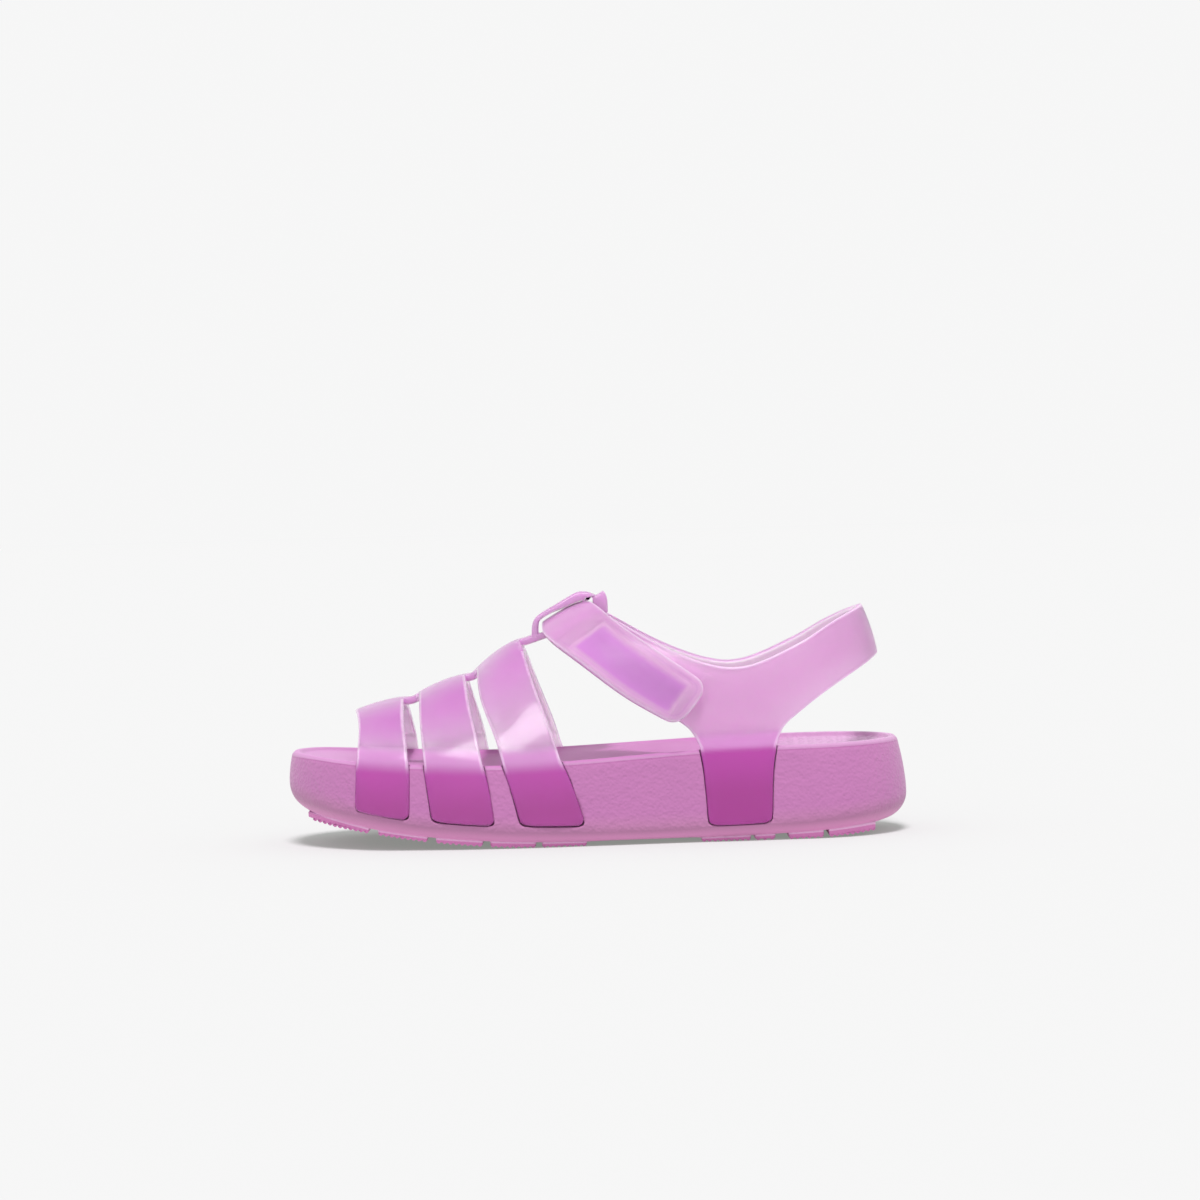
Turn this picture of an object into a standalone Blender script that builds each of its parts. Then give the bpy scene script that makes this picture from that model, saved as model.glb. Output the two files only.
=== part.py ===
"""Child's left jelly sandal: a moulded foam sole, a front upper and a rear upper of clear jelly straps,
and a hook-and-loop closure. X runs from toe to heel, the outer side of the foot is -Y, Z is up."""
import math

import bmesh
import bpy
from mathutils import Matrix, Vector

# Sizes of the last and the sole, in metres
LENGTH = 0.1908
BALL_WIDTH = 0.076
RIM_HEIGHT = 0.029
INSTEP_HEIGHT = 0.070
BACK_REACH = 0.0871
EDGE_RADIUS = 0.006
WALL_LEAN = 0.0012
TOE_ROUND = 0.2
HEEL_ROUND = 0.17
END_SQUARENESS = 2.15

# Footbed
RIM_WIDTH = 0.0024
RIM_ROUND = 0.0009
BED_STEP = 0.0012
BED_DEPTH = 0.0030
FORE_BED = 0.75
ARCH_RISE = 0.0016
ARCH_MIDDLE = 0.56
ARCH_SPREAD = 0.13

# Tread
LUG_INSET = 0.0042
LUG_ROOT = 0.0016
LUG_EDGE = 0.0004

# Straps
STRAP_WALL = 0.0022
STRAP_PROUD = 0.0003
STRAP_CROWN = 0.00035
STRAP_EDGE = 0.0006
STRAP_CORNER = 0.0016
VAMP_FOOT_RISE = 0.0058
STEM_FOOT_RISE = 0.0045
KNUCKLE_RISE = 0.0007
KNUCKLE_WIDTH = 0.45
SPINE_WIDTH = 0.0096
SPINE_STEP = 0.0014
CLEARANCE = 0.0003
POCKET_GAP = 0.0005
WELD = 0.00006

# Keeper loop and closure
KEEPER_RISE = 0.0072
KEEPER_LENGTH = 0.0236
KEEPER_FROM_TOE = 0.3999
KEEPER_GRIP = 0.008
PATCH_WALL = 0.0007
TAB_CORNER = 0.0042
HEEL_TURN = 0.804
HEEL_TURN_SQUARENESS = 2.1

# Outline of the sole from above: shares of the length and of the ball width
OUTLINE = (
    # from_toe, outer, inner, edge, lean
    (0.00, 0.385, 0.475, 1.45, 1.0),
    (0.15, 0.455, 0.500, 1.10, 1.0),
    (0.33, 0.495, 0.497, 1.00, 0.8),
    (0.50, 0.462, 0.432, 0.92, 0.8),
    (0.62, 0.428, 0.388, 0.92, 0.8),
    (0.75, 0.410, 0.387, 0.95, 1.0),
    (0.88, 0.400, 0.391, 1.10, 1.7),
    (1.00, 0.385, 0.385, 1.40, 2.3),
)

# Side of the sole: shares of the rim height
SIDE = (
    # from_toe, rim, belly, tread
    (0.000, 0.990, 0.359, 0.338),
    (0.035, 0.975, 0.318, 0.293),
    (0.081, 0.945, 0.266, 0.234),
    (0.138, 0.915, 0.203, 0.176),
    (0.230, 0.888, 0.122, 0.083),
    (0.319, 0.867, 0.073, 0.024),
    (0.391, 0.872, 0.049, 0.000),
    (0.485, 0.900, 0.038, 0.000),
    (0.589, 0.938, 0.036, 0.000),
    (0.690, 0.970, 0.040, 0.000),
    (0.804, 0.986, 0.055, 0.000),
    (0.882, 0.992, 0.078, 0.014),
    (0.934, 0.996, 0.097, 0.041),
    (1.000, 1.000, 0.124, 0.097),
)

# Crown of the last over the centre line: share of the instep height, and how round the arch is
CROWN = (
    # from_toe, height, roundness
    (0.080, 0.553, 2.00),
    (0.112, 0.574, 2.00),
    (0.160, 0.610, 2.00),
    (0.208, 0.640, 2.00),
    (0.257, 0.693, 1.98),
    (0.305, 0.739, 1.95),
    (0.348, 0.824, 1.93),
    (0.381, 0.875, 1.91),
    (0.400, 0.896, 1.90),
    (0.418, 0.905, 1.88),
    (0.444, 0.941, 1.87),
    (0.468, 0.974, 1.86),
    (0.484, 0.993, 1.85),
    (0.500, 1.006, 1.83),
    (0.530, 1.022, 1.80),
    (0.605, 1.100, 1.70),
    (0.668, 1.140, 1.70),
    (0.720, 1.170, 1.70),
    (0.804, 1.200, 1.70),
)

# Back of the last: share of the back's reach at each share of the instep height
BACK = (
    # height, reach
    (0.41, 1.056),
    (0.56, 1.033),
    (0.78, 1.000),
    (0.90, 0.972),
    (1.00, 0.945),
)

# Edges of the cross straps: from the spine (0) by the rim (1) to the foot of the strap (2)
TOE_STRAP = (
    # across, front, rear
    (0.00, 0.1116, 0.1918),
    (0.50, 0.1225, 0.1945),
    (1.00, 0.1216, 0.2028),
    (2.00, 0.1180, 0.2010),
)
MIDDLE_STRAP = (
    # across, front, rear
    (0.00, 0.2165, 0.2909),
    (0.50, 0.2201, 0.2993),
    (1.00, 0.2280, 0.3202),
    (2.00, 0.2400, 0.3360),
)
INSTEP_STRAP = (
    # across, front, rear
    (0.00, 0.3113, 0.3774),
    (0.50, 0.3166, 0.3983),
    (1.00, 0.3517, 0.4429),
    (2.00, 0.3800, 0.4780),
)

# Rear upper's band, from its front end to the back of the heel: heights are shares of the instep height
BAND = (
    # lower_from_toe, lower_height, upper_from_toe, upper_height
    (0.4712, 0.819, 0.5178, 0.984),
    (0.5010, 0.753, 0.5393, 0.953),
    (0.5398, 0.671, 0.5760, 0.892),
    (0.5828, 0.599, 0.6179, 0.831),
    (0.6216, 0.546, 0.6625, 0.780),
    (0.6478, 0.492, 0.6913, 0.758),
    (0.6782, 0.472, 0.7149, 0.747),
    (0.7222, 0.465, 0.7437, 0.754),
    (0.7647, 0.472, 0.7699, 0.777),
    (0.7972, 0.500, 0.7950, 0.806),
    (0.8300, 0.590, 0.8300, 0.859),
    (0.8650, 0.664, 0.8650, 0.917),
    (0.9085, 0.726, 0.9085, 0.962),
    (0.9564, 0.768, 0.9564, 0.988),
    (1.0000, 0.784, 1.0000, 0.997),
)

# Where the stem leaves the band, and its edges down to the foot of the stem
STEM_FRONT_ROW = 5
STEM_REAR_ROW = 9
STEM = (
    # down, front, rear
    (0.00, 0.6478, 0.7972),
    (0.20, 0.6640, 0.7830),
    (0.45, 0.6700, 0.7760),
    (1.00, 0.6755, 0.7720),
)

# The closing strap, from the inner arm (positive) over the spine (0) to the tab's end (negative)
CLOSING = (
    # lower_from_toe, lower_across, upper_from_toe, upper_across, lift
    (0.4440, 0.300, 0.5030, 0.165, 0.80),
    (0.4290, 0.140, 0.4930, 0.085, 1.00),
    (0.4245, 0.000, 0.4930, 0.000, 1.00),
    (0.4235, -0.120, 0.4945, -0.075, 1.10),
    (0.4250, -0.249, 0.5012, -0.149, 1.25),
    (0.4340, -0.339, 0.5114, -0.246, 1.60),
    (0.4484, -0.437, 0.5242, -0.316, 1.75),
    (0.4839, -0.580, 0.5511, -0.429, 1.75),
    (0.5227, -0.686, 0.5892, -0.545, 1.75),
    (0.5639, -0.775, 0.6209, -0.618, 1.75),
    (0.6271, -0.880, 0.6792, -0.738, 1.75),
)


def read(table, column, share):
    """A column of a table at a share between its rows, on a smooth curve through them."""
    rows = [(row[0], row[column]) for row in table]
    if share <= rows[0][0]:
        return rows[0][1]
    if share >= rows[-1][0]:
        return rows[-1][1]
    low = max(i for i in range(len(rows) - 1) if rows[i][0] <= share)
    return hermite(rows, low, share)


def hermite(rows, low, share):
    """Smooth value between row low and the next, with the slopes of the rows beside them."""
    def slope(i):
        first, last = rows[max(i - 1, 0)], rows[min(i + 1, len(rows) - 1)]
        return (last[1] - first[1]) / (last[0] - first[0])

    (x0, y0), (x1, y1) = rows[low], rows[low + 1]
    span = x1 - x0
    t = (share - x0) / span
    return (y0 * (1 + 2 * t) * (1 - t) ** 2 + slope(low) * span * t * (1 - t) ** 2
            + y1 * t * t * (3 - 2 * t) + slope(low + 1) * span * t * t * (t - 1))


def end_factor(share):
    """How much of its half width the outline keeps near the round toe and heel."""
    away = 0.0
    if share < TOE_ROUND:
        away = 1.0 - share / TOE_ROUND
    if share > 1.0 - HEEL_ROUND:
        away = 1.0 - (1.0 - share) / HEEL_ROUND
    return max(1.0 - min(away, 1.0) ** END_SQUARENESS, 0.0) ** (1.0 / END_SQUARENESS)


def half_width(share, side):
    """Signed half width of the sole at its widest height; side is -1 outside and 1 inside."""
    outer = read(OUTLINE, 1, share) * BALL_WIDTH
    inner = read(OUTLINE, 2, share) * BALL_WIDTH
    middle = (inner - outer) / 2
    return middle + side * (inner + outer) / 2 * end_factor(share)


def along(share):
    """X of a share of the length from the toe."""
    return (share - 0.5) * LENGTH


def rim_height(share):
    return read(SIDE, 1, share) * RIM_HEIGHT


def belly_height(share):
    return read(SIDE, 2, share) * RIM_HEIGHT


def tread_height(share):
    """Height of the lugs' lower faces: the flat spots of forefoot and heel lie on the floor."""
    return max(read(SIDE, 3, share), 0.0) * RIM_HEIGHT


def wall_inset(share, height):
    """How far the sole's wall lies inside its widest outline at a height."""
    belly = belly_height(share)
    radius = read(OUTLINE, 3, share) * EDGE_RADIUS
    if height < belly + radius:
        drop = min(belly + radius - height, radius)
        return radius - math.sqrt(radius ** 2 - drop ** 2)
    rise = (height - belly - radius) / (rim_height(share) - belly - radius)
    return read(OUTLINE, 4, share) * WALL_LEAN * rise ** 1.5


def arch_width(share, side):
    """Half width where the straps leave the rim of the sole."""
    return half_width(share, side) - side * read(OUTLINE, 4, share) * WALL_LEAN


def last_point(share, across):
    """A point of the last: across is 0 on the crown, 1 (inside) or -1 (outside) at the rim and
    beyond 1 down the sole's wall; past HEEL_TURN the share turns round the heel."""
    side = -1 if across < 0 else 1
    flat = min(share, HEEL_TURN)
    rim = rim_height(flat)
    if abs(across) > 1:
        height = rim * (2 - abs(across))
        return Vector((along(flat), half_width(flat, side) - side * wall_inset(flat, height), height))
    angle = (1 - abs(across)) * math.pi / 2
    power = 2 / read(CROWN, 2, flat)
    crown = read(CROWN, 1, flat) * INSTEP_HEIGHT
    width = arch_width(flat, side) * max(math.cos(angle), 0.0) ** power
    height = rim + (crown - rim) * math.sin(angle) ** power
    if share <= HEEL_TURN:
        return Vector((along(flat), width, height))
    turn = (share - HEEL_TURN) / (1 - HEEL_TURN) * math.pi / 2
    reach = read(BACK, 1, height / INSTEP_HEIGHT) * BACK_REACH - along(HEEL_TURN)
    bend = 2 / HEEL_TURN_SQUARENESS
    return Vector((along(HEEL_TURN) + reach * math.sin(turn) ** bend,
                   width * max(math.cos(turn), 0.0) ** bend, height))


def across_at_height(share, side, height):
    """The place across the last that lies at a height."""
    flat = min(share, HEEL_TURN)
    rim = rim_height(flat)
    if height < rim:
        return side * (2 - height / rim)
    crown = read(CROWN, 1, flat) * INSTEP_HEIGHT
    part = min((height - rim) / (crown - rim), 1.0)
    return side * (1 - math.asin(part ** (read(CROWN, 2, flat) / 2)) * 2 / math.pi)


def across_at_width(share, width):
    """The place across the last that lies at a half width from the centre line."""
    part = width / abs(arch_width(share, 1))
    return 1 - math.acos(part ** (read(CROWN, 2, share) / 2)) * 2 / math.pi


def skin(share, across, lift):
    """A point at a lift above the last, measured square to it."""
    step = 0.004
    back = min(share, 1 - step)
    slide = last_point(back + step, across) - last_point(back - step, across)
    climb = last_point(back, across + step) - last_point(back, across - step)
    normal = slide.cross(climb).normalized()
    return last_point(share, across) + normal * lift


def blend(low, high, part):
    return low + (high - low) * part


def hump(part):
    """0 at both edges of a strap and 1 along its middle."""
    return 4 * part * (1 - part)


def corner_inset(distance, radius):
    """How far a round corner takes an edge in, at a distance from the end."""
    if distance >= radius:
        return 0.0
    return radius - math.sqrt(radius ** 2 - (radius - max(distance, 0.0)) ** 2)


def add_strip(bm, columns, rows, place):
    """A grid whose vertices go where place(column, row) says."""
    made = bmesh.ops.create_grid(bm, x_segments=len(columns) - 1, y_segments=len(rows) - 1, size=0.5)
    for vertex in made["verts"]:
        column = columns[round((vertex.co.x + 0.5) * (len(columns) - 1))]
        row = rows[round((vertex.co.y + 0.5) * (len(rows) - 1))]
        vertex.co = place(column, row)


def new_object(name, bm, collection):
    """Object from a mesh in the making, with the strips welded where they meet."""
    bmesh.ops.remove_doubles(bm, verts=bm.verts, dist=WELD)
    bmesh.ops.recalc_face_normals(bm, faces=bm.faces)
    mesh = bpy.data.meshes.new(name)
    bm.to_mesh(mesh)
    bm.free()
    thing = bpy.data.objects.new(name, mesh)
    collection.objects.link(thing)
    return thing


def face_outward(thing):
    """Turn an open sheet round the foot so that its faces look out."""
    bm = bmesh.new()
    bm.from_mesh(thing.data)
    inside = Vector((0.0, 0.0, RIM_HEIGHT))
    away = Matrix.Diagonal((0.0, 1.0, 1.0))
    looks = sum(face.normal.dot(away @ (face.calc_center_median() - inside)) * face.calc_area()
                for face in bm.faces)
    if looks < 0:
        bmesh.ops.reverse_faces(bm, faces=bm.faces)
    bm.to_mesh(thing.data)
    bm.free()


def thicken(thing, wall, outward=False):
    """Give an open sheet its wall, inward from its outer face unless told otherwise."""
    face_outward(thing)
    solid = thing.modifiers.new("Wall", "SOLIDIFY")
    solid.thickness = wall
    solid.offset = 1.0 if outward else -1.0
    solid.use_even_offset = True


def round_edges(thing, width):
    bevel = thing.modifiers.new("Round edges", "BEVEL")
    bevel.width = width
    bevel.segments = 1
    bevel.loop_slide = False
    bevel.limit_method = "ANGLE"
    bevel.angle_limit = math.radians(50)


def join(thing, other, operation):
    boolean = thing.modifiers.new(operation.title(), "BOOLEAN")
    boolean.operation = operation
    boolean.object = other


def hide_tool(thing):
    thing.hide_render = True
    thing.display_type = "WIRE"


def material(name, colour, roughness, alpha=1.0):
    made = bpy.data.materials.new(name)
    made.use_nodes = True
    shader = made.node_tree.nodes["Principled BSDF"]
    shader.inputs["Base Color"].default_value = (*colour, 1.0)
    shader.inputs["Roughness"].default_value = roughness
    shader.inputs["Metallic"].default_value = 0.0
    shader.inputs["Transmission Weight"].default_value = 1.0 - alpha
    return made


# Sole

RING_STATIONS = 40
BELLY_STEPS = 4


def ring_point(station, inset, height):
    """A point of the sole on the outline, taken in square to it, at a height for its share."""
    def edge(angle):
        share = (1 - math.cos(angle)) / 2
        side = -1 if angle % (2 * math.pi) < math.pi else 1
        return Vector((along(share), half_width(share, side), 0.0))

    angle = math.pi * station / RING_STATIONS
    share = (1 - math.cos(angle)) / 2
    run = edge(angle + 0.02) - edge(angle - 0.02)
    outward = Vector((run.y, -run.x, 0.0)).normalized()
    point = edge(angle) - outward * inset(share)
    side = -1 if station < RING_STATIONS else 1
    return Vector((point.x, point.y, height(share, side)))


def loft_rings(bm, rings):
    """Skin closed rings of one count, and close both ends with a ladder of faces across."""
    loops = [[bm.verts.new(point) for point in ring] for ring in rings]
    count = len(rings[0])
    for lower, upper in zip(loops, loops[1:]):
        for i in range(count):
            j = (i + 1) % count
            bm.faces.new((lower[i], lower[j], upper[j], upper[i]))
    for loop in (loops[0], loops[-1]):
        for i in range(count // 2):
            rung = [loop[i], loop[i + 1], loop[count - i - 1], loop[(count - i) % count]]
            bm.faces.new(list(dict.fromkeys(rung)))


def sole_body(collection):
    """Foam block: rounded belly edge, leaning wall, raised rim and dished footbed."""
    def edge(share):
        return read(OUTLINE, 3, share) * EDGE_RADIUS

    def lean(share):
        return read(OUTLINE, 4, share) * WALL_LEAN

    def bed(share, side, depth):
        arch = ARCH_RISE * math.exp(-((share - ARCH_MIDDLE) / ARCH_SPREAD) ** 2) if side > 0 else 0.0
        cup = blend(FORE_BED, 1.0, min(max((share - ARCH_MIDDLE) / HEEL_ROUND, 0.0), 1.0))
        return rim_height(share) - BED_DEPTH * depth * cup + arch * depth

    def belly_ring(angle):
        return (lambda share: edge(share) * (1 - math.sin(angle)),
                lambda share, side: belly_height(share) + edge(share) * (1 - math.cos(angle)))

    middle = 0.55
    profile = (
        *(belly_ring(math.radians(90) * step / BELLY_STEPS) for step in range(BELLY_STEPS + 1)),
        (lambda share: lean(share) * middle ** 1.5,
         lambda share, side: blend(belly_height(share) + edge(share), rim_height(share), middle)),
        (lean, lambda share, side: rim_height(share) - RIM_ROUND),
        (lambda share: lean(share) + RIM_ROUND, lambda share, side: rim_height(share)),
        (lambda share: lean(share) + RIM_WIDTH, lambda share, side: rim_height(share)),
        (lambda share: lean(share) + RIM_WIDTH + BED_STEP, lambda share, side: bed(share, side, 0.45)),
        (lambda share: lean(share) + RIM_WIDTH * 4, lambda share, side: bed(share, side, 0.85)),
        (lambda share: lean(share) + RIM_WIDTH * 7, lambda share, side: bed(share, side, 1.0)),
    )
    bm = bmesh.new()
    stations = range(2 * RING_STATIONS)
    loft_rings(bm, [[ring_point(i, inset, height) for i in stations] for inset, height in profile])
    return new_object("sole", bm, collection)


LUGS = (
    # front, rear
    (0.0340, 0.1370),
    (0.1515, 0.2297),
    (0.2430, 0.3168),
    (0.3285, 0.4004),
    (0.4097, 0.4805),
    (0.6617, 0.7400),
    (0.7460, 0.7790),
    (0.8000, 0.8560),
    (0.8640, 0.9410),
)


def lug(front, rear, collection):
    """One tread bar across the sole, its root sunk in the foam and its lower edge chamfered."""
    def place(column, row):
        share = blend(front, rear, row)
        width = half_width(share, -1 if column < 0 else 1)
        reach = abs(width) - LUG_INSET / max(end_factor(share), 0.5)
        return Vector((along(share), reach * column, tread_height(share)))

    bm = bmesh.new()
    add_strip(bm, (-1, 0, 1), (0, 0.5, 1), place)
    bmesh.ops.recalc_face_normals(bm, faces=bm.faces)
    if sum(face.normal.z for face in bm.faces) > 0:
        bmesh.ops.reverse_faces(bm, faces=bm.faces)
    grown = bmesh.ops.extrude_face_region(bm, geom=bm.faces[:])
    roots = [item for item in grown["geom"] if isinstance(item, bmesh.types.BMVert)]
    for vertex in roots:
        share = vertex.co.x / LENGTH + 0.5
        vertex.co.z = belly_height(share) + LUG_ROOT
    bar = new_object("lug", bm, collection)
    round_edges(bar, LUG_EDGE)
    return bar


def build_sole(collection, tools):
    sole = sole_body(collection)
    for front, rear in LUGS:
        bar = lug(front, rear, tools)
        hide_tool(bar)
        join(sole, bar, "UNION")
    for edges, rise in ((TOE_STRAP, VAMP_FOOT_RISE), (MIDDLE_STRAP, VAMP_FOOT_RISE),
                        (INSTEP_STRAP, VAMP_FOOT_RISE), (STEM, STEM_FOOT_RISE)):
        for side in (-1, 1):
            pocket = strap_pocket(edges, rise, side, tools)
            hide_tool(pocket)
            join(sole, pocket, "DIFFERENCE")
    sole.data.materials.append(material("Foam", (0.52, 0.24, 0.46), 0.55))
    return sole


STEM_RIM_DOWN = 0.20


def foot_across(share, rise):
    """Where on the wall a strap ends, a little above the belly of the sole."""
    return 2 - (belly_height(share) + rise) / rim_height(share)


def strap_edges(edges, down):
    """Front and rear share of a strap at a place between the rim (1) and its foot (2)."""
    if edges is STEM:
        depth = STEM_RIM_DOWN + (1 - STEM_RIM_DOWN) * (down - 1)
        return read(edges, 1, depth), read(edges, 2, depth)
    return read(edges, 1, down), read(edges, 2, down)


def strap_pocket(edges, rise, side, tools):
    """Cutter for the shallow pocket that takes a strap's end, larger all round by its gap."""
    depth = STRAP_WALL - STRAP_PROUD + CLEARANCE
    corner = STRAP_CORNER + POCKET_GAP

    def place(column, row):
        front, rear = strap_edges(edges, max(column, 1))
        share = blend(front, rear, row)
        foot = foot_across(share, rise - 2 * POCKET_GAP)
        drop = max(column - 1, 0) * (foot - 1)
        distance = (foot - 1 - drop) * rim_height(share)
        taken = corner_inset(distance, corner) - POCKET_GAP
        share = blend(front + taken / LENGTH, rear - taken / LENGTH, row)
        across = 1 + drop if column >= 1 else column
        return skin(share, side * across, -depth)

    columns = (0.86, 0.93, 1.0, 1.3, 1.6, 1.86, 1.93, 1.97, 2.0)
    bm = bmesh.new()
    add_strip(bm, columns, (0, 0.5, 1), place)
    pocket = new_object("pocket", bm, tools)
    thicken(pocket, STRAP_WALL * 3, outward=True)
    return pocket


# Front upper

SPINE_COLUMNS = (-0.1, 0.0, 0.1)
ARCH_COLUMNS = (0.24, 0.38, 0.52, 0.66, 0.80, 0.90, 1.0)
WALL_COLUMNS = (1.33, 1.66, 1.86, 1.95, 2.0)


def column_across(share, column, rise):
    """Column of a cross strap to a place across the last: the spine, the arch, then the wall."""
    side = -1 if column < 0 else 1
    place = abs(column)
    spine = across_at_width(share, SPINE_WIDTH / 2)
    if place <= 0.1:
        return side * spine * place / 0.1
    if place <= 1:
        return side * blend(spine, 1.0, (place - 0.1) / 0.9)
    return side * blend(1.0, foot_across(share, rise), place - 1)


def cross_strap(bm, edges):
    """One strap of the front upper from foot to foot, crowned a little and raised over the spine."""
    def place(column, row):
        front, rear = strap_edges(edges, abs(column))
        share = blend(front, rear, row)
        across = column_across(share, column, VAMP_FOOT_RISE)
        distance = (2 - abs(column)) * (foot_across(share, VAMP_FOOT_RISE) - 1) * rim_height(share)
        taken = corner_inset(distance, STRAP_CORNER) / LENGTH if abs(column) > 1 else 0.0
        share = blend(front + taken, rear - taken, row)
        raised = KNUCKLE_RISE * max(1 - abs(column) / KNUCKLE_WIDTH, 0.0)
        return skin(share, across, STRAP_PROUD + STRAP_CROWN * hump(row) + raised)

    half = ARCH_COLUMNS + WALL_COLUMNS
    columns = tuple(-c for c in reversed(half)) + SPINE_COLUMNS + half
    add_strip(bm, columns, (0, 1 / 3, 2 / 3, 1), place)


def spine_run(bm, strap, next_strap=None):
    """The spine from one strap to the next, or to the keeper loop, a step lower than their knuckles."""
    step = SPINE_STEP / LENGTH
    end_raised = 1.0 if next_strap else 0.0

    def place(column, row):
        start = strap_edges(strap, abs(column))[1]
        end = strap_edges(next_strap, abs(column))[0] if next_strap else KEEPER_FROM_TOE + KEEPER_GRIP
        stops = ((start, 1.0), (start + step, 0.0), (end - step, 0.0), (end, end_raised))
        share, raised = stops[row]
        across = column_across(share, column, VAMP_FOOT_RISE)
        knuckle = KNUCKLE_RISE * max(1 - abs(column) / KNUCKLE_WIDTH, 0.0)
        return skin(share, across, STRAP_PROUD + knuckle * raised)

    add_strip(bm, SPINE_COLUMNS, (0, 1, 2, 3), place)


KEEPER_OUTSIDE = (
    # along, rise
    (0.000, 0.08),
    (0.005, 0.45),
    (0.040, 0.68),
    (0.100, 0.83),
    (0.230, 0.90),
    (0.420, 0.92),
    (0.560, 0.96),
    (0.640, 0.93),
    (0.760, 0.75),
    (0.845, 0.52),
    (0.895, 0.58),
    (0.940, 0.68),
    (0.968, 0.58),
    (0.995, 0.34),
    (1.000, 0.12),
)
KEEPER_HOLE = (
    # along, rise
    (0.090, 0.00),
    (0.090, 0.45),
    (0.115, 0.58),
    (0.165, 0.66),
    (0.360, 0.66),
    (0.540, 0.66),
    (0.680, 0.60),
    (0.805, 0.49),
    (0.805, 0.00),
)
KEEPER_FLOOR_STEPS = 6


def keeper_point(along_share, rise):
    """A point of the loop's side outline, above the crown of the last."""
    share = KEEPER_FROM_TOE + along_share * KEEPER_LENGTH / LENGTH
    crown = read(CROWN, 1, share) * INSTEP_HEIGHT
    return along(share), crown + rise * KEEPER_RISE


def keeper_loop(tools):
    """Loop on the spine that the closing strap runs through, with an upturned lip behind it."""
    steps = KEEPER_FLOOR_STEPS
    wall = -STRAP_WALL / KEEPER_RISE
    front, rear = KEEPER_HOLE[0][0], KEEPER_HOLE[-1][0]
    under = [(1 - i / steps, wall) for i in range(steps + 1)]
    floor = [(blend(rear, front, i / steps), 0.0) for i in range(1, steps)]
    curve = bpy.data.curves.new("keeper", "CURVE")
    curve.dimensions = "2D"
    curve.fill_mode = "BOTH"
    curve.extrude = SPINE_WIDTH / 2
    for outline in (list(KEEPER_OUTSIDE) + under, list(KEEPER_HOLE) + floor):
        spline = curve.splines.new("POLY")
        spline.points.add(len(outline) - 1)
        for point, place in zip(spline.points, outline):
            point.co = (*keeper_point(*place), 0.0, 1.0)
        spline.use_cyclic_u = True
    flat = bpy.data.objects.new("keeper flat", curve)
    tools.objects.link(flat)
    flat.rotation_euler = (math.pi / 2, 0.0, 0.0)
    bpy.context.view_layer.update()
    mesh = bpy.data.meshes.new_from_object(flat.evaluated_get(bpy.context.evaluated_depsgraph_get()))
    bm = bmesh.new()
    bm.from_mesh(mesh)
    bm.transform(flat.matrix_world)
    loop = new_object("keeper", bm, tools)
    bpy.data.objects.remove(flat)
    round_edges(loop, STRAP_EDGE)
    return loop


def build_vamp(collection, tools):
    bm = bmesh.new()
    straps = (TOE_STRAP, MIDDLE_STRAP, INSTEP_STRAP)
    for edges in straps:
        cross_strap(bm, edges)
    for strap, next_strap in zip(straps, straps[1:]):
        spine_run(bm, strap, next_strap)
    spine_run(bm, INSTEP_STRAP)
    vamp = new_object("vamp", bm, collection)
    thicken(vamp, STRAP_WALL)
    round_edges(vamp, STRAP_EDGE)
    loop = keeper_loop(tools)
    hide_tool(loop)
    join(vamp, loop, "UNION")
    vamp.data.materials.append(material("Jelly", (0.72, 0.38, 0.66), 0.2, 0.6))
    return vamp


# Rear upper

BAND_ROWS = (0, 0.25, 0.5, 0.75, 1)
FINE = 2
ARM_LIFT = 0.15
TAB_END_COLUMNS = (0.5, 0.28, 0.2, 0.12, 0.05, 0.0)


def numbered(table):
    """A table with its row number as first column, to be read between rows."""
    return tuple((i, *row) for i, row in enumerate(table))


def band_row(position):
    """The band's edges at a position counted in rows of its table."""
    return [read(numbered(BAND), column, position) for column in (1, 2, 3, 4)]


def closing_row(position):
    """The closing strap's edges and lift; its first row is the front end of the inner arm."""
    lower, low, upper, high = BAND[0]
    start = (lower, across_at_height(lower, 1, low * INSTEP_HEIGHT),
             upper, across_at_height(upper, 1, high * INSTEP_HEIGHT), ARM_LIFT)
    rows = numbered((start, *CLOSING))
    return [read(rows, column, position) for column in (1, 2, 3, 4, 5)]


def closing_lift(position):
    """Height of the closing strap above the last: it rises from the inner arm, passes over the spine
    and lies on the outer arm and the closure."""
    return STRAP_PROUD + closing_row(position)[4] * (STRAP_WALL + 2 * CLEARANCE)


def half_band(bm, side, lift_front):
    """The band of one side, from its front end to the middle of the heel."""
    def place(column, row):
        lower, low, upper, high = band_row(column)
        across = blend(across_at_height(lower, side, low * INSTEP_HEIGHT),
                       across_at_height(upper, side, high * INSTEP_HEIGHT), row)
        eased = lift_front * max(1 - column / 2, 0.0) ** 2
        return skin(blend(lower, upper, row), across, STRAP_PROUD + STRAP_CROWN * hump(row) + eased)

    steps = (len(BAND) - 1) * FINE
    add_strip(bm, tuple(i / FINE for i in range(steps + 1)), BAND_ROWS, place)


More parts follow.
